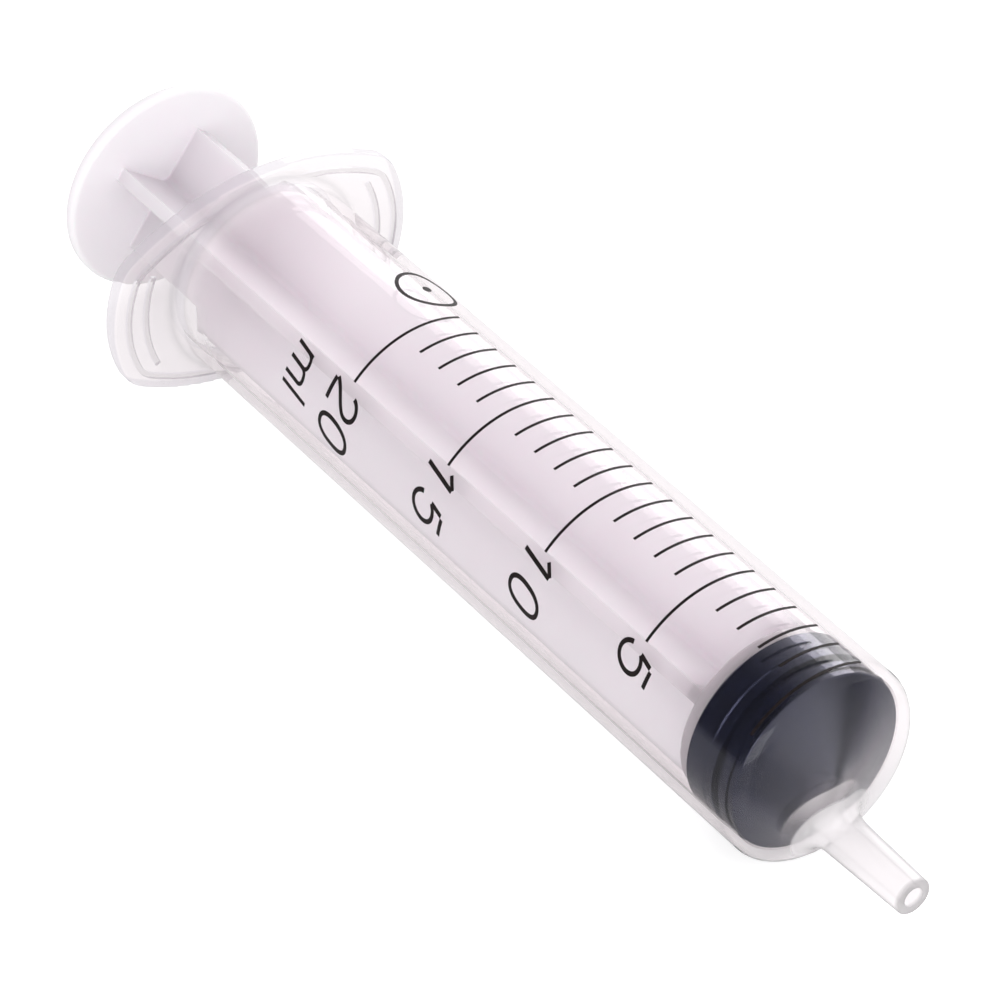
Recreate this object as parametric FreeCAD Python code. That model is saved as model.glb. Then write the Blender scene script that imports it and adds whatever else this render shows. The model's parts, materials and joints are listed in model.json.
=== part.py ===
import FreeCAD, Part
import math
import os

# A 20 ml syringe with an eccentric slip tip: a moulded barrel, a moulded plunger rod,
# a rubber piston and the printed scale. Lengths are in millimetres, angles in degrees.
# The pieces are drawn with x = 0 at the zero line of the scale, on the barrel's axis,
# and +X towards the tip. Angles about the axis run from the top, +Z, towards +Y.

# Scale and bore
CAPACITY_ML = 20
CUBIC_MM_PER_ML = 1000.0
BORE_R = 10.0
BARREL_WALL = 1.05
SCALE_TO_FLANGE = 28.3
LONG_LINE_EVERY = 5
LINE_WIDTH = 0.32
INK_THICKNESS = 0.04
LONG_LINE_START = -45.7
SHORT_LINE_START = -11.2
LINE_END = 26.5

# Barrel front
FRONT_WALL = 1.7
SHOULDER_ROUND = 2.0
SEAT_GAP = 0.1

# Tip, a 6 % cone on the diameter
TIP_OFFSET = 6.0
TIP_LENGTH = 12.0
TIP_END_R = 1.985
TIP_TAPER = 0.06
TIP_FLARE = 2.4
TIP_EDGE_ROUND = 0.2
LUMEN_END_R = 1.1
LUMEN_BASE_R = 1.4
CUT_OVERRUN = 1.0

# Barrel mouth
MOUTH_CHAMFER = 0.5
BEAD_FROM_FLANGE = 3.0
BEAD_HEIGHT = 0.25
BEAD_TOP = 0.6
BEAD_SLOPE = 1.3

# Finger flange
FLANGE_THICKNESS = 1.8
FLANGE_HALF_LENGTH = 18.4
FLANGE_HALF_HEIGHT = 12.5
FLANGE_LONG_ARC_R = 29.7
FLANGE_END_ARC_R = 16.0
FLANGE_CORNER_R = 5.0
FLANGE_EDGE_ROUND = 0.45
COLLAR_ROUND = 1.6

# Raised grip lines on the flange's front face
GRIP_HEIGHT = 0.35
GRIP_WIDTH = 0.6
GRIP_RIM_INSET = 1.4
GRIP_ARC_R = 14.6
GRIP_ARC_HALF_ANGLE = 23.0

# Rubber piston
PISTON_PLAY = 0.03
PISTON_LENGTH = 7.1
NOSE_HEIGHT = 3.1
REAR_LAND = 4.1
REAR_CHAMFER = 0.35
SEAM_FROM_REAR = 2.95
SEAM_DEPTH = 0.12
SEAM_HALF_WIDTH = 0.14
GROOVE_DEPTH = 0.6
GROOVE_WIDTH = 1.1
GROOVE_SLOPE = 0.15
FRONT_LAND = 1.0
NOTCH_DEPTH = 0.22
NOTCH_WIDTH = 0.2
RIM_STEP = 0.15
RIM_ROUND = 0.2

# Joint of the rod's head in the piston
FIT_PLAY = 0.05
LIP_THICKNESS = 2.4
NECK_R = 4.8
HEAD_R = 6.5
HEAD_THICKNESS = 2.2
HEAD_CHAMFER = 0.5

# Plunger rod
SUPPORT_R = 9.4
SUPPORT_THICKNESS = 1.5
SUPPORT_ROUND = 0.3
FIN_PLAY = 0.45
FIN_THICKNESS = 1.5
FIN_ROOT_ROUND = 0.9
FIN_TURN = -52.0
FIN_STEP_IN = 1.9
FIN_STEP_BEHIND_BARREL = 1.2
THUMB_GAP = 16.0
THUMB_R = 12.0
THUMB_THICKNESS = 1.6
THUMB_ROUND = 0.55

# What follows from them
BARREL_R = BORE_R + BARREL_WALL
ML_STEP = CUBIC_MM_PER_ML / (math.pi * BORE_R**2)
FLANGE_FRONT = -CAPACITY_ML * ML_STEP - SCALE_TO_FLANGE
FLANGE_BACK = FLANGE_FRONT - FLANGE_THICKNESS
BEAD_R = BORE_R - BEAD_HEIGHT
PISTON_R = BORE_R - PISTON_PLAY
FIN_R = BEAD_R - FIN_PLAY
THUMB_FRONT = FLANGE_BACK - THUMB_GAP
THUMB_BACK = THUMB_FRONT - THUMB_THICKNESS

V = FreeCAD.Vector
CENTRE = V(0, 0, 0)
AXIS = V(1, 0, 0)


def nose_x(radius):
    """Where the piston's conical nose lies, at a radius from the axis."""
    return NOSE_HEIGHT * (1 - radius / BORE_R)


def seat_x(radius):
    """Where the inside of the barrel's front wall lies, at a radius from the axis."""
    return nose_x(radius) + SEAT_GAP


def front_x(radius):
    """Where the outside of the barrel's front wall lies, at a radius from the axis."""
    return seat_x(radius) + FRONT_WALL


TIP_END = front_x(TIP_OFFSET) + TIP_LENGTH


def turned(outline):
    """Solid turned about the barrel's axis, from corners (place along the axis, radius)."""
    corners = [V(x, 0, radius) for x, radius in outline]
    face = Part.Face(Part.makePolygon(corners + corners[:1]))
    return face.revolve(CENTRE, AXIS, 360)


def is_ring(edge, x, radius):
    """Whether an edge is a circle about the axis, at this place and of this radius."""
    curve = edge.Curve
    if not isinstance(curve, Part.Circle) or not edge.isClosed():
        return False
    return (curve.Center - V(x, 0, 0)).Length < 1e-4 and abs(curve.Radius - radius) < 1e-4


def rounded(solid, rings, fillet):
    """The solid with its ring edges, each (place along the axis, radius), rounded."""
    edges = [e for e in solid.Edges if any(is_ring(e, *ring) for ring in rings)]
    return solid.makeFillet(fillet, edges)


def arc_strip(x0, x1, r0, r1, start, end):
    """A strip of a tube's wall, between two places, two radii and two angles about the axis."""
    a = math.radians(start)
    corners = [
        V(x, r * math.sin(a), r * math.cos(a))
        for x, r in ((x0, r0), (x1, r0), (x1, r1), (x0, r1))
    ]
    face = Part.Face(Part.makePolygon(corners + corners[:1]))
    return face.revolve(CENTRE, -AXIS, end - start)


def flange_slab(inset, x, thickness):
    """Slab of the flange's outline, drawn in by an inset, from x forwards.

    The outline is two long arcs and two end arcs, each pair centred on the flange's
    short and long axis, with the four corners rounded.
    """
    long_r = FLANGE_LONG_ARC_R - inset
    end_r = FLANGE_END_ARC_R - inset
    long_centre = FLANGE_LONG_ARC_R - FLANGE_HALF_HEIGHT
    end_centre = FLANGE_HALF_LENGTH - FLANGE_END_ARC_R
    # The corner lies on both circles: centres (0, -long_centre) and (end_centre, 0).
    apart = math.hypot(long_centre, end_centre)
    along = (long_r**2 - end_r**2 + apart**2) / (2 * apart)
    aside = math.sqrt(long_r**2 - along**2)
    uy, uz = end_centre / apart, long_centre / apart
    cy = along * uy + aside * uz
    cz = -long_centre + along * uz - aside * uy
    if cz < 0:
        cy = along * uy - aside * uz
        cz = -long_centre + along * uz + aside * uy
    cy = abs(cy)

    top, side = V(x, 0, long_r - long_centre), V(x, end_centre + end_r, 0)
    corner = {
        (sy, sz): V(x, sy * cy, sz * cz) for sy in (-1, 1) for sz in (-1, 1)
    }
    edges = [
        Part.Arc(corner[-1, 1], top, corner[1, 1]).toShape(),
        Part.Arc(corner[1, 1], side, corner[1, -1]).toShape(),
        Part.Arc(corner[1, -1], V(x, 0, -top.z), corner[-1, -1]).toShape(),
        Part.Arc(corner[-1, -1], V(x, -side.y, 0), corner[-1, 1]).toShape(),
    ]
    slab = Part.Face(Part.Wire(edges)).extrude(V(thickness, 0, 0))
    posts = [e for e in slab.Edges if e.BoundBox.XLength > 0.9 * thickness]
    return slab.makeFillet(FLANGE_CORNER_R - inset, posts)


def front_shell():
    """Solid outside of the barrel: tube, conical front with a round shoulder, and tip."""
    tube = turned(
        [(FLANGE_BACK, 0), (FLANGE_BACK, BARREL_R), (front_x(BARREL_R), BARREL_R), (front_x(0), 0)]
    )
    base = seat_x(TIP_OFFSET)
    length = TIP_END - base
    tip = Part.makeCone(
        TIP_END_R + TIP_TAPER / 2 * length, TIP_END_R, length, V(base, 0, -TIP_OFFSET), AXIS
    )
    tip_rim = [e for e in tip.Edges if abs(e.BoundBox.XMin - TIP_END) < 1e-4]
    tip = tip.makeFillet(TIP_EDGE_ROUND, tip_rim)
    shell = tube.fuse(tip).removeSplitter()

    # The tip springs from the front wall in a flare, on the one curve where they meet.
    reach = TIP_END_R + TIP_TAPER / 2 * length + 0.1
    root = []
    for edge in shell.Edges:
        box = edge.BoundBox
        meets = box.XMin > front_x(BORE_R) and box.XMax < front_x(0)
        near = abs(box.YMin) < reach and abs(box.YMax) < reach
        if meets and near and box.YLength > 0.5 * reach:
            root.append(edge)
    shell = shell.makeFillet(TIP_FLARE, root)
    return rounded(shell, [(front_x(BARREL_R), BARREL_R)], SHOULDER_ROUND)


def collar():
    """Hollow round between the barrel and the flange's front face, kept on that face."""
    r, c = BARREL_R, COLLAR_ROUND
    x = FLANGE_FRONT
    lift = c * (1 - math.sqrt(0.5))
    inner = r - BARREL_WALL / 2
    corners = [V(x + c, 0, r), V(x + c, 0, inner), V(x, 0, inner), V(x, 0, r + c)]
    edges = [Part.makeLine(a, b) for a, b in zip(corners, corners[1:])]
    edges.append(Part.Arc(corners[-1], V(x + lift, 0, r + lift), corners[0]).toShape())
    ring = Part.Face(Part.Wire(edges)).revolve(CENTRE, AXIS, 360)
    return ring.common(flange_slab(FLANGE_EDGE_ROUND, x, 2 * c))


def flange():
    """Finger flange with rounded edges and the raised grip lines on its front face."""
    plate = flange_slab(0, FLANGE_BACK, FLANGE_THICKNESS)
    faces = (FLANGE_BACK, FLANGE_FRONT)
    rims = [
        e
        for e in plate.Edges
        if e.BoundBox.XLength < 1e-4 and min(abs(e.BoundBox.XMin - x) for x in faces) < 1e-4
    ]
    plate = plate.makeFillet(FLANGE_EDGE_ROUND, rims)
    rim = flange_slab(GRIP_RIM_INSET, FLANGE_FRONT, GRIP_HEIGHT)
    rim = rim.cut(flange_slab(GRIP_RIM_INSET + GRIP_WIDTH, FLANGE_FRONT, GRIP_HEIGHT))
    solid = plate.fuse([rim, collar()])
    for side in (-90, 90):
        solid = solid.fuse(
            arc_strip(
                FLANGE_FRONT,
                FLANGE_FRONT + GRIP_HEIGHT,
                GRIP_ARC_R - GRIP_WIDTH / 2,
                GRIP_ARC_R + GRIP_WIDTH / 2,
                side - GRIP_ARC_HALF_ANGLE,
                side + GRIP_ARC_HALF_ANGLE,
            )
        )
    return solid


def bore():
    """The space inside the barrel, with its bead near the mouth and its conical front."""
    bead = FLANGE_FRONT + BEAD_FROM_FLANGE
    half = BEAD_TOP / 2
    outside = FLANGE_BACK - CUT_OVERRUN
    return turned(
        [
            (outside, 0),
            (outside, BORE_R + MOUTH_CHAMFER),
            (FLANGE_BACK, BORE_R + MOUTH_CHAMFER),
            (FLANGE_BACK + MOUTH_CHAMFER, BORE_R),
            (bead - half - BEAD_SLOPE, BORE_R),
            (bead - half, BEAD_R),
            (bead + half, BEAD_R),
            (bead + half + BEAD_SLOPE, BORE_R),
            (seat_x(BORE_R), BORE_R),
            (seat_x(0), 0),
        ]
    )


def lumen():
    """The tapered channel through the tip, open into the barrel."""
    base = seat_x(TIP_OFFSET + LUMEN_BASE_R) - CUT_OVERRUN
    return Part.makeCone(
        LUMEN_BASE_R, LUMEN_END_R, TIP_END - base, V(base, 0, -TIP_OFFSET), AXIS
    )


def barrel():
    return front_shell().fuse(flange()).cut(bore()).cut(lumen()).removeSplitter()


def piston():
    """Rubber piston: two sealing lands, a groove between them, a cone and the rod's socket."""
    r = PISTON_R
    rear = -PISTON_LENGTH
    seam = rear + SEAM_FROM_REAR
    groove = rear + REAR_LAND
    front_land = groove + GROOVE_WIDTH
    notch = front_land + FRONT_LAND
    rim_r = r - RIM_STEP
    lip_r = NECK_R + FIT_PLAY
    socket_r = HEAD_R + FIT_PLAY
    socket_x = rear + LIP_THICKNESS
    socket_end = socket_x + HEAD_THICKNESS + 2 * FIT_PLAY
    solid = turned(
        [
            (socket_end, 0),
            (socket_end, socket_r - HEAD_CHAMFER),
            (socket_end - HEAD_CHAMFER, socket_r),
            (socket_x, socket_r),
            (socket_x, lip_r),
            (rear, lip_r),
            (rear, r - REAR_CHAMFER),
            (rear + REAR_CHAMFER, r),
            (seam - SEAM_HALF_WIDTH, r),
            (seam, r - SEAM_DEPTH),
            (seam + SEAM_HALF_WIDTH, r),
            (groove, r),
            (groove + GROOVE_SLOPE, r - GROOVE_DEPTH),
            (front_land - GROOVE_SLOPE, r - GROOVE_DEPTH),
            (front_land, r),
            (notch, r),
            (notch, r - NOTCH_DEPTH),
            (notch + NOTCH_WIDTH, r - NOTCH_DEPTH),
            (notch + NOTCH_WIDTH, rim_r),
            (nose_x(rim_r), rim_r),
            (nose_x(0), 0),
        ]
    )
    return rounded(solid, [(nose_x(rim_r), rim_r)], RIM_ROUND)


def rod_head():
    """The rod's front end: a support disc behind the piston, a neck and a snap-in head."""
    support = -PISTON_LENGTH - FIT_PLAY
    head = -PISTON_LENGTH + LIP_THICKNESS + FIT_PLAY
    front = head + HEAD_THICKNESS
    back = support - SUPPORT_THICKNESS
    solid = turned(
        [
            (back, 0),
            (back, SUPPORT_R),
            (support, SUPPORT_R),
            (support, NECK_R),
            (head, NECK_R),
            (head, HEAD_R),
            (front - HEAD_CHAMFER, HEAD_R),
            (front, HEAD_R - HEAD_CHAMFER),
            (front, 0),
        ]
    )
    return rounded(solid, [(back, SUPPORT_R), (support, SUPPORT_R)], SUPPORT_ROUND)


def fin_cross():
    """Four long fins in a cross, narrower where they stand outside the barrel."""
    front = -PISTON_LENGTH - FIT_PLAY - SUPPORT_THICKNESS / 2
    back = THUMB_BACK + THUMB_THICKNESS / 2
    step = FLANGE_BACK - FIN_STEP_BEHIND_BARREL
    narrow = FIN_R - FIN_STEP_IN
    side = [(front, FIN_R), (step, FIN_R), (step - FIN_STEP_IN, narrow), (back, narrow)]
    outline = side + [(x, -r) for x, r in reversed(side)]
    corners = [V(x, -FIN_THICKNESS / 2, r) for x, r in outline]
    web = Part.Face(Part.makePolygon(corners + corners[:1])).extrude(V(0, FIN_THICKNESS, 0))
    crossed = web.copy()
    crossed.rotate(CENTRE, AXIS, 90)
    cross = web.fuse(crossed).removeSplitter()
    corner_r = math.hypot(FIN_THICKNESS / 2, FIN_THICKNESS / 2)
    roots = []
    for edge in cross.Edges:
        middle = edge.CenterOfMass
        if edge.Length > 50 and abs(math.hypot(middle.y, middle.z) - corner_r) < 1e-3:
            roots.append(edge)
    cross = cross.makeFillet(FIN_ROOT_ROUND, roots)
    cross.rotate(CENTRE, AXIS, -FIN_TURN)
    return cross


def thumb_disc():
    disc = turned(
        [(THUMB_BACK, 0), (THUMB_BACK, THUMB_R), (THUMB_FRONT, THUMB_R), (THUMB_FRONT, 0)]
    )
    return rounded(disc, [(THUMB_BACK, THUMB_R), (THUMB_FRONT, THUMB_R)], THUMB_ROUND)


def plunger_rod():
    return fin_cross().fuse([rod_head(), thumb_disc()]).removeSplitter()


def scale_lines():
    """The printed graduation: one line for each millilitre, long ones at every fifth."""
    lines = []
    for ml in range(CAPACITY_ML + 1):
        middle = -ml * ML_STEP
        start = SHORT_LINE_START if ml % LONG_LINE_EVERY else LONG_LINE_START
        lines.append(
            arc_strip(
                middle - LINE_WIDTH / 2,
                middle + LINE_WIDTH / 2,
                BARREL_R,
                BARREL_R + INK_THICKNESS,
                start,
                LINE_END,
            )
        )
    return Part.makeCompound(lines)


def main():
    # The origin is under the middle of the syringe as it lies on its flange.
    to_origin = V(-(TIP_END + THUMB_BACK) / 2, 0, FLANGE_HALF_HEIGHT)
    os.makedirs("parts", exist_ok=True)
    for make in (barrel, piston, plunger_rod, scale_lines):
        shape = make()
        shape.translate(to_origin)
        shape.exportStep(f"parts/{make.__name__}.step")
        print(make.__name__, shape.isValid(), len(shape.Solids), round(shape.Volume, 2))


main()
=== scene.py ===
import bpy
import json
import math
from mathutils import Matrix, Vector, geometry


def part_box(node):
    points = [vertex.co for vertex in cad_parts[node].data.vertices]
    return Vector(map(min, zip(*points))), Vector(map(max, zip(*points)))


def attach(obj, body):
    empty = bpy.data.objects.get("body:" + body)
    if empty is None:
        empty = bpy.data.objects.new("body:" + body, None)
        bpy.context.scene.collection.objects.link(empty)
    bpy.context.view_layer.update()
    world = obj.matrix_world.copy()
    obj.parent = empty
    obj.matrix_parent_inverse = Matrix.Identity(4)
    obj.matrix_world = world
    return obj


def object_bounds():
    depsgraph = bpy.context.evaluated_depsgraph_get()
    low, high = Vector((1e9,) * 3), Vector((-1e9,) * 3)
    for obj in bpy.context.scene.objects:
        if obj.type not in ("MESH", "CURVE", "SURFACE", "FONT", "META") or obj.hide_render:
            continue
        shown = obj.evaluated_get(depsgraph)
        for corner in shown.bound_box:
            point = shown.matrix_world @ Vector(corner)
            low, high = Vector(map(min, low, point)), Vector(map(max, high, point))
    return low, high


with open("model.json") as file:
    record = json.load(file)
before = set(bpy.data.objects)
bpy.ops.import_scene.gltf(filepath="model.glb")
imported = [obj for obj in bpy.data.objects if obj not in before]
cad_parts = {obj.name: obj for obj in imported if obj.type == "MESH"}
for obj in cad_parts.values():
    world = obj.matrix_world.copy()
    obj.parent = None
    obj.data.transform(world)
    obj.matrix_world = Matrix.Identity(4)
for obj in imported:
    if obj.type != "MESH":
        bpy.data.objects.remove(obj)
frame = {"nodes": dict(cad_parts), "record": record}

# A 20 ml syringe lying on its finger flange, seen from above its tip. Everything is in
# metres in the part's own frame: +X towards the tip, +Z up, the barrel's axis along X.
# Print, and what varies on the plastics, is written in millimetres and scaled by MM.

MM = 0.001

# Camera, as in the photograph
CAMERA_AZIMUTH = 53.72
CAMERA_ELEVATION = 40.68
CAMERA_DISTANCE = 537.2 * MM
CAMERA_TARGET = Vector((-1.81, 0.0, 10.2)) * MM
CAMERA_LENS = 193.54
CAMERA_CLIP = (0.01, 10.0)
SENSOR_WIDTH = 36.0

# How the plastics change along the part, as pairs of a distance from the thumb disc's back
# and a level: the barrel's clarity, its painted shade face on and edge on, and the rod's painted
# shade
BARREL_CLARITY = (
    (17.0, 0.82), (19.8, 0.82), (23.0, 0.97), (97.0, 0.975), (100.0, 0.996), (112.0, 0.996),
    (116.0, 0.96),
)
BARREL_PAINTED_SHADE = (
    (17.0, 1.0), (19.42, 1.0), (19.5, 0.70), (19.8, 0.70), (20.4, 0.99), (126.1, 0.99),
    (126.3, 0.50),
)
BARREL_EDGE_PAINTED_SHADE = (
    (17.0, 0.60), (19.8, 0.66), (23.0, 0.93), (109.0, 0.90), (111.5, 0.60), (126.3, 0.58),
)
ROD_PAINTED_SHADE = (
    (0.1, 0.72), (1.3, 1.0), (1.6, 1.0), (1.9, 0.72), (18.0, 0.76), (32.0, 0.90),
    (98.0, 0.90), (101.3, 0.68), (101.8, 0.50),
)

# The clear plastic's cast, the light that goes straight through a wall of it, and what a
# length of it takes up
BARREL_CAST = (1.0, 0.970, 0.982)
PASSING_LIGHT = (0.99, 0.985, 0.99)
ABSORPTION_COLOUR = (0.54, 0.36, 0.42)
ABSORPTION_DENSITY = 14.0

# The two tones that each of the other materials varies between
MILKY_TONES = ((0.965, 0.905, 0.955), (0.99, 0.935, 0.985))
RUBBER_TONES = ((0.0040, 0.0050, 0.0125), (0.0065, 0.0080, 0.0205))
INK_TONES = ((0.008, 0.005, 0.005), (0.020, 0.012, 0.013))

# Each range, stretch and pair of radii below runs from where a change starts to where it
# is full: how far edge on a wall is seen, how much its normal points along X, a stretch
# from the thumb disc's back, and the distance from a line along X.
EDGE_ON_RANGE = (0.5, 1.0)
SIDE_WALL_RANGE = (0.92, 0.5)

# Painted shade: the flange is darker on its walls along X, such as its rim, and the fins on their
# edges.
FLANGE_RIM_PAINTED_SHADE = (0.78, 0.76, 0.80)
FLANGE_RIM_STRETCH = (19.9, 19.6)
FIN_EDGE_PAINTED_SHADE = 0.82
FIN_EDGE_STRETCH = (1.6, 2.0)
FIN_EDGE_RADII = (8.8, 9.3)

# The barrel is hazy where its plastic is thick, round the tip's line.
TIP_CLARITY = 0.48
TIP_HAZE_STRETCH = (111.5, 114.0)
TIP_HAZE_RADII = (4.9, 4.3)

# The middle range of a noise's values, which is spread over what it drives, and the detail
# of the noise that makes bumps
NOISE_MIDDLE = (0.3, 0.7)
BUMP_DETAIL = 3.0

# Soft surround: its level as light, and mirrored on its bright and its dark side. Mirrored,
# it darkens over a range of the cosine of the angle to the dark side.
SURROUND_LIGHT = 1.0
SURROUND_BRIGHT = 0.9
SURROUND_DARK = 0.02
SURROUND_RANGE = (0.0, 0.95)
DARK_SIDE = Vector((-0.61, -0.60, 0.50))

# Floor: how far it reaches each way, in metres, its colour, its glow where it is seen
# straight and through clear plastic, and its lightness in reflections, as pairs of an angle
# in degrees about the barrel's front, from +X towards +Y, and a level
FLOOR_REACH = 1.6
FLOOR_COLOUR = (0.80, 0.80, 0.80)
FLOOR_ROUGHNESS = 0.8
FLOOR_GLOW_SEEN = 0.52
FLOOR_GLOW_THROUGH = 0.37
FLOOR_MIRRORED = (
    (-179, 0.80), (-150, 0.45), (-95, 0.40), (-50, 0.75), (-36, 0.75), (-24, 0.36),
    (-7, 0.40), (4, 0.80), (27, 1.00), (36, 0.60), (45, 0.05), (53, 0.30), (62, 0.70),
    (76, 1.00), (179, 1.00),
)

# Lamps: azimuth and elevation in degrees, distance and size in metres, power in watts
SOFTBOXES = {
    "key_softbox": (38, 22, 0.9, (0.7, 0.5), 1.9),
    "rim_softbox": (220, 16, 0.9, (0.5, 0.4), 1.6),
}

# How many bounces of light are followed
BOUNCES = {
    "max_bounces": 12,
    "transmission_bounces": 12,
    "glossy_bounces": 4,
    "diffuse_bounces": 2,
    "transparent_max_bounces": 12,
}

# Print on the barrel: right is measured round it from its top towards -Y, and up along it
# from the zero line towards the tip
CAPACITY_ML = 20
LINE_WIDTH = 0.32
INK_THICKNESS = 0.04

# Numbers, with the places where their digits start
SCALE_NUMBERS = {20: (9.3, 13.0), 15: (9.7, 12.25), 10: (9.7, 12.1), 5: (9.35,)}
DIGIT_HEIGHT = 4.62
DIGIT_STROKE = 0.47
DIGIT_SLANT = 0.21

# Unit, with the tall letter's place measured from the unit's start
LETTER_STROKE = 0.41
LETTER_SLANT = 0.19
LETTER_HEIGHT = 2.78
ARCH_WIDTH = 1.67
ARCH_SPRING = 0.62
TALL_LETTER_HEIGHT = 4.1
TALL_LETTER_START = 4.5
UNIT_BELOW_LINE = 9.05
UNIT_START = 9.25

# Ring with a dot
RING_RADIUS = 3.2
RING_STROKE = 0.42
RING_BELOW_LINE = 5.6
RING_SIDE = -5.2
RING_DOT_RADIUS = 0.5

# Strokes: the longest step along a curve, the fewest steps in one, the least cosine that a
# mitre's reach is divided by, and distances under which two points are one
CURVE_STEP = 0.22
FEWEST_STEPS = 6
SHARPEST_MITRE = 0.42
SAME_POINT = 1e-6
MERGE_DISTANCE = 1e-5

# Places of a Mix node's inputs and results, which share their names between kinds of data
NUMBER_A, NUMBER_B, NUMBER_RESULT = 2, 3, 0
COLOUR_A, COLOUR_B, COLOUR_RESULT = 6, 7, 2

cad_low, cad_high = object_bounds()


def mount(name):
    """A mount of the record, by its name."""
    return next(m for m in frame["record"]["mounts"] if m["name"] == name)


# Where the barrel, its tip and its scale are, in metres
barrel_low, barrel_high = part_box("barrel")
lines_low, lines_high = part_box("scale_lines")
BARREL_RADIUS = mount("barrel_body")["dims"]["r_mm"] * MM
AXIS_Z = (barrel_low.z + barrel_high.z) / 2
ZERO_X = lines_high.x - LINE_WIDTH * MM / 2
FULL_X = lines_low.x + LINE_WIDTH * MM / 2
ML_STEP = (ZERO_X - FULL_X) / CAPACITY_ML
TIP_LINE = Vector(mount("luer_tip")["pos_m"])


# Node materials


def opaque(colour):
    return (*colour, 1)


def grey(level):
    return (level, level, level, 1)


class NodeTree:
    """The shader nodes of a material or of the world, made from nothing."""

    def __init__(self, tree):
        self.tree = tree
        self.tree.nodes.clear()

    def add(self, kind, inputs=None, **settings):
        """A new node, with its settings and then what goes into its inputs."""
        node = self.tree.nodes.new(kind)
        for key, value in settings.items():
            setattr(node, key, value)
        for key, source in (inputs or {}).items():
            self.feed(source, node.inputs[key])
        return node

    def feed(self, source, target):
        """Links an input to another node's output, or gives it a value."""
        if isinstance(source, bpy.types.NodeSocket):
            self.tree.links.new(source, target)
        else:
            target.default_value = source

    def calculated(self, operation, *sources, clamped=False):
        """The result of a Math node on values and on the outputs of other nodes."""
        inputs = dict(enumerate(sources))
        node = self.add("ShaderNodeMath", inputs, operation=operation, use_clamp=clamped)
        return node.outputs[0]

    def ranged(self, source, start, full, first=0.0, last=1.0):
        """A value that goes smoothly from first to last between two values of the source."""
        inputs = {
            "Value": source, "From Min": start, "From Max": full, "To Min": first, "To Max": last,
        }
        node = self.add("ShaderNodeMapRange", inputs, interpolation_type="SMOOTHSTEP")
        return node.outputs["Result"]

    def ramp(self, source, stops):
        """A grey by the source, from pairs of one of its values, 0 to 1, and a level."""
        node = self.add("ShaderNodeValToRGB", {"Fac": source})
        marks = node.color_ramp.elements
        while len(marks) < len(stops):
            marks.new(1.0)
        for mark, (position, level) in zip(marks, stops):
            mark.position = position
            mark.color = grey(level)
        return node.outputs["Color"]

    def mixed(self, factor, first, second, blend_type="MIX"):
        """The first colour where the factor is 0, blended with the second where it is 1."""
        inputs = {"Factor": factor, COLOUR_A: first, COLOUR_B: second}
        node = self.add("ShaderNodeMix", inputs, data_type="RGBA", blend_type=blend_type)
        return node.outputs[COLOUR_RESULT]

    def mixed_number(self, factor, first, second):
        """The first number where the factor is 0, and the second where it is 1."""
        inputs = {"Factor": factor, NUMBER_A: first, NUMBER_B: second}
        return self.add("ShaderNodeMix", inputs).outputs[NUMBER_RESULT]

    def chosen(self, factor, first, second):
        """The first shader where the factor is 0, and the second where it is 1."""
        return self.add("ShaderNodeMixShader", {0: factor, 1: first, 2: second}).outputs[0]

    def rays(self):
        """Values that tell which kind of ray is followed."""
        return self.add("ShaderNodeLightPath").outputs

    def straight_through(self):
        """A value of 1 for rays that came through clear plastic without a reflection."""
        rays = self.rays()
        unreflected = self.calculated("LESS_THAN", rays["Glossy Depth"], 0.5)
        return self.calculated("MULTIPLY", rays["Is Transmission Ray"], unreflected)


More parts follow.
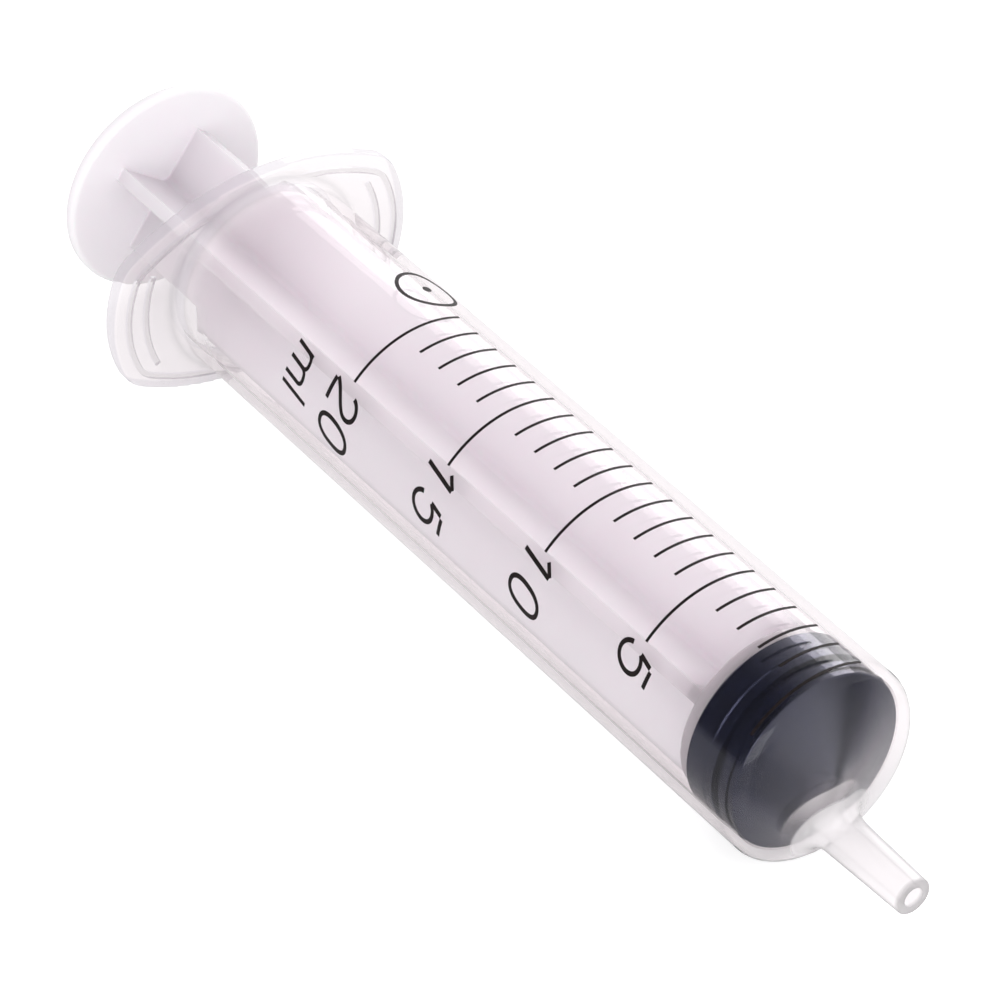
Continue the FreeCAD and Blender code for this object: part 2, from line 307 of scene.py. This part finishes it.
class Material(NodeTree):
    """A node material under construction, with one Principled shader."""

    def __init__(self, name):
        self.material = bpy.data.materials.new(name)
        self.material.use_nodes = True
        super().__init__(self.material.node_tree)
        self.shader = self.add("ShaderNodeBsdfPrincipled")
        self.output = self.add("ShaderNodeOutputMaterial")
        self.show(self.shader.outputs[0])

    def show(self, surface):
        """Makes this shader the surface's."""
        self.feed(surface, self.output.inputs["Surface"])

    def set(self, **sources):
        """Feeds the shader's sockets by name, with spaces written as underscores."""
        for key, source in sources.items():
            self.feed(source, self.shader.inputs[key.replace("_", " ")])

    def axes(self, kind):
        """X, Y and Z of the place or the normal, in the part's own frame."""
        place = self.add("ShaderNodeTexCoord").outputs[kind]
        return self.add("ShaderNodeSeparateXYZ", {0: place}).outputs

    def along(self, stops):
        """A grey that changes along the part, from pairs of a distance and a level."""
        length = cad_high.x - cad_low.x
        inputs = {
            "Value": self.axes("Object")["X"], "From Min": cad_low.x, "From Max": cad_high.x,
        }
        place = self.add("ShaderNodeMapRange", inputs).outputs["Result"]
        return self.ramp(place, [(distance * MM / length, level) for distance, level in stops])

    def past(self, stretch):
        """A value that grows to 1 over a stretch of the part."""
        return self.ranged(self.axes("Object")["X"], *(cad_low.x + s * MM for s in stretch))

    def near_line(self, radii, y, z):
        """A value that grows to 1 between two distances from a line along X."""
        place = self.axes("Object")
        flat = self.add("ShaderNodeCombineXYZ", {"Y": place["Y"], "Z": place["Z"]}).outputs[0]
        apart = self.add("ShaderNodeVectorMath", {0: flat, 1: (0, y, z)}, operation="DISTANCE")
        return self.ranged(apart.outputs["Value"], *(r * MM for r in radii))

    def side_walls(self):
        """A value of 1 on walls that run along X and 0 on those that face along it."""
        size = self.calculated("ABSOLUTE", self.axes("Normal")["X"])
        return self.ranged(size, *SIDE_WALL_RANGE)

    def edge_on(self):
        """A value that grows to 1 where the surface is seen edge on."""
        facing = self.add("ShaderNodeLayerWeight").outputs["Facing"]
        return self.ranged(facing, *EDGE_ON_RANGE)

    def pattern(self, size, detail):
        """A noise on the object, with features of about this size."""
        place = self.add("ShaderNodeTexCoord").outputs["Object"]
        scale = [1 / (size * MM)] * 3
        scaled = self.add("ShaderNodeMapping", {"Vector": place, "Scale": scale}).outputs[0]
        inputs = {"Vector": scaled, "Scale": 1.0, "Detail": detail}
        return self.add("ShaderNodeTexNoise", inputs).outputs["Fac"]

    def noise(self, size, low, high, detail=2.0):
        """A value that varies from low to high, in patches of about this size."""
        bottom, top = NOISE_MIDDLE
        inputs = {
            "Value": self.pattern(size, detail), "From Min": bottom, "From Max": top,
            "To Min": low, "To Max": high,
        }
        return self.add("ShaderNodeMapRange", inputs).outputs["Result"]

    def mottled(self, size, tones, detail=4.0):
        """A colour that varies between two tones, in patches of about this size."""
        first, second = tones
        return self.mixed(self.noise(size, 0.0, 1.0, detail), opaque(first), opaque(second))

    def bump(self, size, height, strength):
        """Fine bumps of about this size and height on the surface."""
        heights = self.pattern(size, BUMP_DETAIL)
        inputs = {"Height": heights, "Distance": height * MM, "Strength": strength}
        self.set(Normal=self.add("ShaderNodeBump", inputs).outputs[0])


def clear_plastic():
    """Clear polypropylene, which bends light little here.

    It is hazy at the flange and round the tip's foot, and darker where light goes a long way
    through it. Shade is painted on it edge on, where it leaves the flange and on the tip's end.
    """
    m = Material("clear_polypropylene")
    # Painted shade: darker edge on, in a band where the barrel leaves the flange, and on the
    # tip's end.
    tone = m.mixed(m.edge_on(), m.along(BARREL_PAINTED_SHADE), m.along(BARREL_EDGE_PAINTED_SHADE))
    cast = m.mixed(1.0, tone, opaque(BARREL_CAST), "MULTIPLY")
    # Painted shade on the flange's rim and its other walls along X.
    rim = m.calculated("MULTIPLY", m.side_walls(), m.past(FLANGE_RIM_STRETCH))
    near_tip = m.near_line(TIP_HAZE_RADII, TIP_LINE.y, TIP_LINE.z)
    tip = m.calculated("MULTIPLY", near_tip, m.past(TIP_HAZE_STRETCH))
    m.set(
        Base_Color=m.mixed(rim, cast, opaque(FLANGE_RIM_PAINTED_SHADE)),
        Roughness=m.noise(9.0, 0.03, 0.06),
        Transmission_Weight=m.mixed(tip, m.along(BARREL_CLARITY), grey(TIP_CLARITY)),
        IOR=1.01,
        Coat_Weight=0.6,
        Coat_IOR=1.49,
        Coat_Roughness=0.06,
    )

    # Light from the lamps and the surround reaches what is inside by passing straight on.
    rays = m.rays()
    lighting = m.calculated("MAXIMUM", rays["Is Shadow Ray"], rays["Is Diffuse Ray"])
    passing = m.add("ShaderNodeBsdfTransparent", {"Color": opaque(PASSING_LIGHT)})
    m.show(m.chosen(lighting, m.shader.outputs[0], passing.outputs[0]))

    inputs = {"Color": opaque(ABSORPTION_COLOUR), "Density": ABSORPTION_DENSITY}
    absorbing = m.add("ShaderNodeVolumeAbsorption", inputs)
    m.feed(absorbing.outputs[0], m.output.inputs["Volume"])
    return m.material


def milky_plastic():
    """Unfilled polypropylene as moulded: satin, and light travels some way into it."""
    m = Material("milky_polypropylene")
    tone = m.mottled(11.0, MILKY_TONES, detail=3.0)
    # Painted shade along the rod: darker at the thumb disc's rim, on the fins, most outside the
    # barrel, and next to the rubber.
    shaded = m.mixed(1.0, tone, m.along(ROD_PAINTED_SHADE), "MULTIPLY")
    # Painted shade on the fins' narrow outer edges.
    darker = m.mixed(1.0, shaded, grey(FIN_EDGE_PAINTED_SHADE), "MULTIPLY")
    near_edge = m.near_line(FIN_EDGE_RADII, 0.0, AXIS_Z)
    edges = m.calculated("MULTIPLY", near_edge, m.past(FIN_EDGE_STRETCH))
    m.set(
        Base_Color=m.mixed(edges, shaded, darker),
        Roughness=m.noise(3.0, 0.30, 0.44, detail=3.0),
        Subsurface_Weight=0.65,
        Subsurface_Radius=(1.0, 0.82, 0.9),
        Subsurface_Scale=3.6 * MM,
        IOR=1.49,
        Coat_Weight=0.08,
        Coat_Roughness=0.25,
    )
    m.bump(0.35, 0.006, 0.35)
    return m.material


def dark_rubber():
    """Dark synthetic rubber, satin, with a thin film of silicone oil."""
    m = Material("dark_rubber")
    m.set(
        Base_Color=m.mottled(2.6, RUBBER_TONES),
        Roughness=m.noise(1.6, 0.15, 0.19, detail=4.0),
        IOR=1.5,
        Specular_IOR_Level=0.75,
        Specular_Tint=(0.58, 0.64, 1.0, 1),
    )
    m.bump(0.16, 0.002, 0.1)
    return m.material


def print_ink():
    """Screen-printed ink: near black, a little uneven in its density."""
    m = Material("print_ink")
    m.set(
        Base_Color=m.mottled(0.5, INK_TONES),
        Roughness=m.noise(0.3, 0.42, 0.62),
        IOR=1.5,
        Specular_IOR_Level=0.25,
    )
    m.bump(0.12, 0.004, 0.4)
    return m.material


def paint(node, material):
    """Gives every material slot of a CAD node this material."""
    for slot in frame["nodes"][node].material_slots:
        slot.material = material


# Print: strokes drawn flat in millimetres, right and up as read, then laid on the barrel


def straight(start, end):
    """Points along a line, close enough together to bend round the barrel."""
    start, end = Vector(start), Vector(end)
    steps = max(1, math.ceil((end - start).length / CURVE_STEP))
    return [start.lerp(end, i / steps) for i in range(steps + 1)]


def arc(centre, radii, start, end, fullness=2.0):
    """Points on an ellipse between two angles. A fullness over 2 squares its sides."""
    reach = max(radii) * abs(math.radians(end - start))
    steps = max(FEWEST_STEPS, math.ceil(reach / CURVE_STEP))
    points = []
    for i in range(steps + 1):
        angle = math.radians(start + (end - start) * i / steps)
        c, s = math.cos(angle), math.sin(angle)
        across = radii[0] * math.copysign(abs(c) ** (2 / fullness), c)
        up = radii[1] * math.copysign(abs(s) ** (2 / fullness), s)
        points.append(Vector(centre) + Vector((across, up)))
    return points


def bend(*points):
    """Points on a cubic curve from the first to the last of four."""
    a, b, c, d = (Vector(p) for p in points)
    steps = max(FEWEST_STEPS, math.ceil((d - a).length / CURVE_STEP))
    curve = []
    for i in range(steps + 1):
        t = i / steps
        curve.append(
            a * (1 - t) ** 3 + b * 3 * t * (1 - t) ** 2 + c * 3 * t**2 * (1 - t) + d * t**3
        )
    return curve


def joined(*runs):
    """One path from runs that meet end to end."""
    path = list(runs[0])
    for run in runs[1:]:
        path += run[1:]
    return path


def digit(character):
    """The strokes of a digit, as open or closed paths from its lower left corner."""
    h = DIGIT_HEIGHT
    if character == "0":
        return [arc((1.32, h / 2), (1.28, h / 2), 0, 360, fullness=2.35)]
    if character == "1":
        return [joined(straight((-1.08, h - 1.22), (0, h)), straight((0, h), (0, 0)))]
    if character == "2":
        bowl = arc((1.32, h - 1.24), (1.2, 1.24), 172, -28)
        leg = bend(bowl[-1], (1.85, 1.95), (0.42, 1.3), (0, 0))
        return [joined(bowl, leg, straight((0, 0), (2.66, 0)))]
    if character == "5":
        bowl = arc((1.3, 1.62), (1.36, 1.62), 148, -162)
        bar = straight((2.28, h), (0.3, h))
        return [joined(bar, straight((0.3, h), bowl[0]), bowl)]
    raise ValueError(character)


def letter_m():
    """The strokes of the letter m: a stem and two arches that spring from stems."""
    h, width = LETTER_HEIGHT, ARCH_WIDTH
    strokes = [straight((0, 0), (0, h))]
    for stem in (0, width):
        end = (stem + width, h - ARCH_SPRING)
        rise = bend((stem, h - 0.85), (stem, h - 0.1), (stem + 0.5, h), (stem + 1.0, h))
        fall = bend((stem + 1.0, h), (stem + 1.45, h), (stem + width, h - 0.3), end)
        strokes.append(joined(rise, fall, straight(end, (stem + width, 0))))
    return strokes


def ribbon(path, width):
    """The quads of a stroke of this width along a path, with mitred corners."""
    closed = (path[0] - path[-1]).length < SAME_POINT
    points = path[:-1] if closed else path
    count = len(points)
    sides = []
    for i, point in enumerate(points):
        before = points[i - 1] if closed or i > 0 else None
        after = points[(i + 1) % count] if closed or i < count - 1 else None
        ways = [(b - a).normalized() for a, b in ((before, point), (point, after)) if a and b]
        across = [Vector((-w.y, w.x)) for w in ways]
        middle = sum(across, Vector((0, 0))).normalized()
        reach = width / 2 / max(SHARPEST_MITRE, middle.dot(across[0]))
        sides.append((point + middle * reach, point - middle * reach))
    pairs = zip(sides, sides[1:] + sides[:1]) if closed else zip(sides, sides[1:])
    return [(a[0], a[1], b[1], b[0]) for a, b in pairs]


def disc(centre, radius):
    """A filled circle as a fan of triangles."""
    rim = arc(centre, (radius, radius), 0, 360)
    return [(Vector(centre), a, b) for a, b in zip(rim, rim[1:])]


def placed(polygons, right, up, slant):
    """Polygons leant by a slant and moved to their place."""
    return [
        [Vector((p.x + p.y * slant + right, p.y + up)) for p in polygon] for polygon in polygons
    ]


def scale_number(ml):
    """The polygons of a number, centred on its line."""
    up = -ml * ML_STEP / MM - DIGIT_HEIGHT / 2
    polygons = []
    for character, start in zip(str(ml), SCALE_NUMBERS[ml]):
        for path in digit(character):
            polygons += placed(ribbon(path, DIGIT_STROKE), start, up, DIGIT_SLANT)
    return polygons


def unit_sign():
    """The polygons of ml, below the full line's number."""
    up = -CAPACITY_ML * ML_STEP / MM - UNIT_BELOW_LINE
    polygons = []
    for path in letter_m():
        polygons += placed(ribbon(path, LETTER_STROKE), UNIT_START, up, LETTER_SLANT)
    tall = ribbon(straight((0, 0), (0, TALL_LETTER_HEIGHT)), LETTER_STROKE)
    return polygons + placed(tall, UNIT_START + TALL_LETTER_START, up, LETTER_SLANT)


def ring_mark():
    """The polygons of a plain ring with a dot, below the scale."""
    centre = (RING_SIDE, -CAPACITY_ML * ML_STEP / MM - RING_BELOW_LINE)
    ring = ribbon(arc(centre, (RING_RADIUS, RING_RADIUS), 0, 360), RING_STROKE)
    return ring + disc(centre, RING_DOT_RADIUS)


def inside(point, polygon):
    """Whether a point lies in a convex polygon, drawn either way round."""
    sides = zip(polygon, polygon[1:] + polygon[:1])
    turns = [(b - a).cross(point - a) for a, b in sides]
    return all(t > 0 for t in turns) or all(t < 0 for t in turns)


def merged(polygons):
    """The union of flat polygons, as points and triangles."""
    corners, faces = [], []
    for polygon in polygons:
        faces.append(list(range(len(corners), len(corners) + len(polygon))))
        corners += polygon
    made = geometry.delaunay_2d_cdt(corners, [], faces, 0, MERGE_DISTANCE)
    points = made[0]
    triangles = []
    for triangle in made[2]:
        middle = sum((points[v] for v in triangle), Vector((0, 0))) / len(triangle)
        if any(inside(middle, polygon) for polygon in polygons):
            triangles.append(triangle)
    return points, triangles


def on_barrel(point, radius):
    """The place of a flat point of print, laid round the barrel's axis at this radius."""
    angle = point.x * MM / BARREL_RADIUS
    return (
        ZERO_X + point.y * MM,
        -radius * math.sin(angle),
        AXIS_Z + radius * math.cos(angle),
    )


def printed(name, polygons, ink):
    """A thin skin of ink over the union of flat polygons, laid on the barrel."""
    flat, triangles = merged(polygons)
    inner, outer = BARREL_RADIUS, BARREL_RADIUS + INK_THICKNESS * MM
    points = [on_barrel(point, radius) for radius in (inner, outer) for point in flat]
    shift = len(flat)
    sides = [side for t in triangles for side in zip(t, t[1:] + t[:1])]
    used = set(sides)
    skin = [[v + shift for v in t] for t in triangles]
    skin += [list(reversed(t)) for t in triangles]
    skin += [[a, b, b + shift, a + shift] for a, b in sides if (b, a) not in used]

    mesh = bpy.data.meshes.new(name)
    mesh.from_pydata(points, [], skin)
    mesh.validate()
    mesh.materials.append(ink)
    piece = bpy.data.objects.new(name, mesh)
    bpy.context.scene.collection.objects.link(piece)
    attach(piece, "barrel")


def make_print(ink):
    for ml in SCALE_NUMBERS:
        printed(f"number_{ml}", scale_number(ml), ink)
    printed("unit_ml", unit_sign(), ink)
    printed("ring_mark", ring_mark(), ink)


# Stage: a pale floor, a white surround, soft lamps and the camera


def pale_floor():
    """Matt and pale, and brighter where it is seen, straight or through clear plastic.

    In reflections it is light and dark by turns about the barrel's front.
    """
    m = Material("pale_floor")
    m.set(
        Base_Color=opaque(FLOOR_COLOUR), Roughness=FLOOR_ROUGHNESS, Specular_IOR_Level=0.0
    )
    rays = m.rays()
    through = m.straight_through()
    seen = m.calculated("MULTIPLY", rays["Is Camera Ray"], FLOOR_GLOW_SEEN)
    strength = m.calculated("MULTIPLY_ADD", through, FLOOR_GLOW_THROUGH, seen)
    glow = m.add("ShaderNodeEmission", {"Strength": strength})
    lit = m.add("ShaderNodeAddShader", {0: m.shader.outputs[0], 1: glow.outputs[0]})

    place = m.add("ShaderNodeTexCoord").outputs["Object"]
    inputs = {"Vector": place, "Location": (-ZERO_X, 0, 0)}
    from_front = m.add("ShaderNodeMapping", inputs).outputs[0]
    sweep = m.add("ShaderNodeTexGradient", {"Vector": from_front}, gradient_type="RADIAL")
    stops = [(degrees / 360 + 0.5, level) for degrees, level in FLOOR_MIRRORED]
    mirrored = m.add("ShaderNodeEmission", {"Color": m.ramp(sweep.outputs["Fac"], stops)})
    reflected = m.calculated("SUBTRACT", rays["Is Glossy Ray"], through, clamped=True)
    m.show(m.chosen(reflected, lit.outputs[0], mirrored.outputs[0]))
    return m.material


def make_floor():
    """A floor that leans to touch the flange and the barrel's front end."""
    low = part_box("barrel")[0]
    rise = (AXIS_Z - BARREL_RADIUS - low.z) / (ZERO_X - low.x)
    ends = (-FLOOR_REACH, FLOOR_REACH)
    corners = [(x, y, low.z + (x - low.x) * rise) for x in ends for y in ends]
    mesh = bpy.data.meshes.new("floor")
    mesh.from_pydata(corners, [], [(0, 2, 3, 1)])
    mesh.materials.append(pale_floor())
    floor = bpy.data.objects.new("floor", mesh)
    bpy.context.scene.collection.objects.link(floor)


def make_world():
    """White where it is seen, plain as light, and darker up and behind in reflections."""
    world = bpy.data.worlds.new("surround")
    bpy.context.scene.world = world
    world.use_nodes = True
    w = NodeTree(world.node_tree)
    way = w.add("ShaderNodeTexCoord").outputs["Generated"]
    turn = w.add(
        "ShaderNodeVectorMath", {0: way, 1: DARK_SIDE.normalized()}, operation="DOT_PRODUCT"
    )
    mirrored = w.ranged(turn.outputs["Value"], *SURROUND_RANGE, SURROUND_BRIGHT, SURROUND_DARK)

    rays = w.rays()
    unseen = w.mixed_number(rays["Is Diffuse Ray"], mirrored, SURROUND_LIGHT)
    seen = w.calculated("MAXIMUM", rays["Is Camera Ray"], w.straight_through())
    strength = w.mixed_number(seen, unseen, 1.0)
    background = w.add("ShaderNodeBackground", {"Color": grey(1.0), "Strength": strength})
    w.add("ShaderNodeOutputWorld", {"Surface": background.outputs[0]})


def stand(holder, aim, azimuth, elevation, distance):
    """Stands a lamp or the camera at these angles in degrees, facing the aim point."""
    a, e = math.radians(azimuth), math.radians(elevation)
    way = Vector((math.sin(a) * math.cos(e), -math.cos(a) * math.cos(e), math.sin(e)))
    holder.location = aim + way * distance
    holder.rotation_mode = "QUATERNION"
    holder.rotation_quaternion = way.to_track_quat("Z", "Y")
    bpy.context.scene.collection.objects.link(holder)


def make_lamps():
    aim = (cad_low + cad_high) / 2
    for name, (azimuth, elevation, distance, size, power) in SOFTBOXES.items():
        lamp = bpy.data.lights.new(name, "AREA")
        lamp.shape = "RECTANGLE"
        lamp.size, lamp.size_y = size
        lamp.energy = power
        stand(bpy.data.objects.new(name, lamp), aim, azimuth, elevation, distance)


def make_camera():
    data = bpy.data.cameras.new("camera")
    data.sensor_width = SENSOR_WIDTH
    data.lens = CAMERA_LENS
    data.clip_start, data.clip_end = CAMERA_CLIP
    camera = bpy.data.objects.new("camera", data)
    stand(camera, CAMERA_TARGET, CAMERA_AZIMUTH, CAMERA_ELEVATION, CAMERA_DISTANCE)
    bpy.context.scene.camera = camera


def set_bounces():
    for name, count in BOUNCES.items():
        setattr(bpy.context.scene.cycles, name, count)


make_camera()
make_world()
make_lamps()
make_floor()
ink = print_ink()
paint("barrel", clear_plastic())
paint("plunger_rod", milky_plastic())
paint("piston", dark_rubber())
paint("scale_lines", ink)
make_print(ink)
set_bounces()
bpy.context.scene.view_settings.view_transform = "Standard"
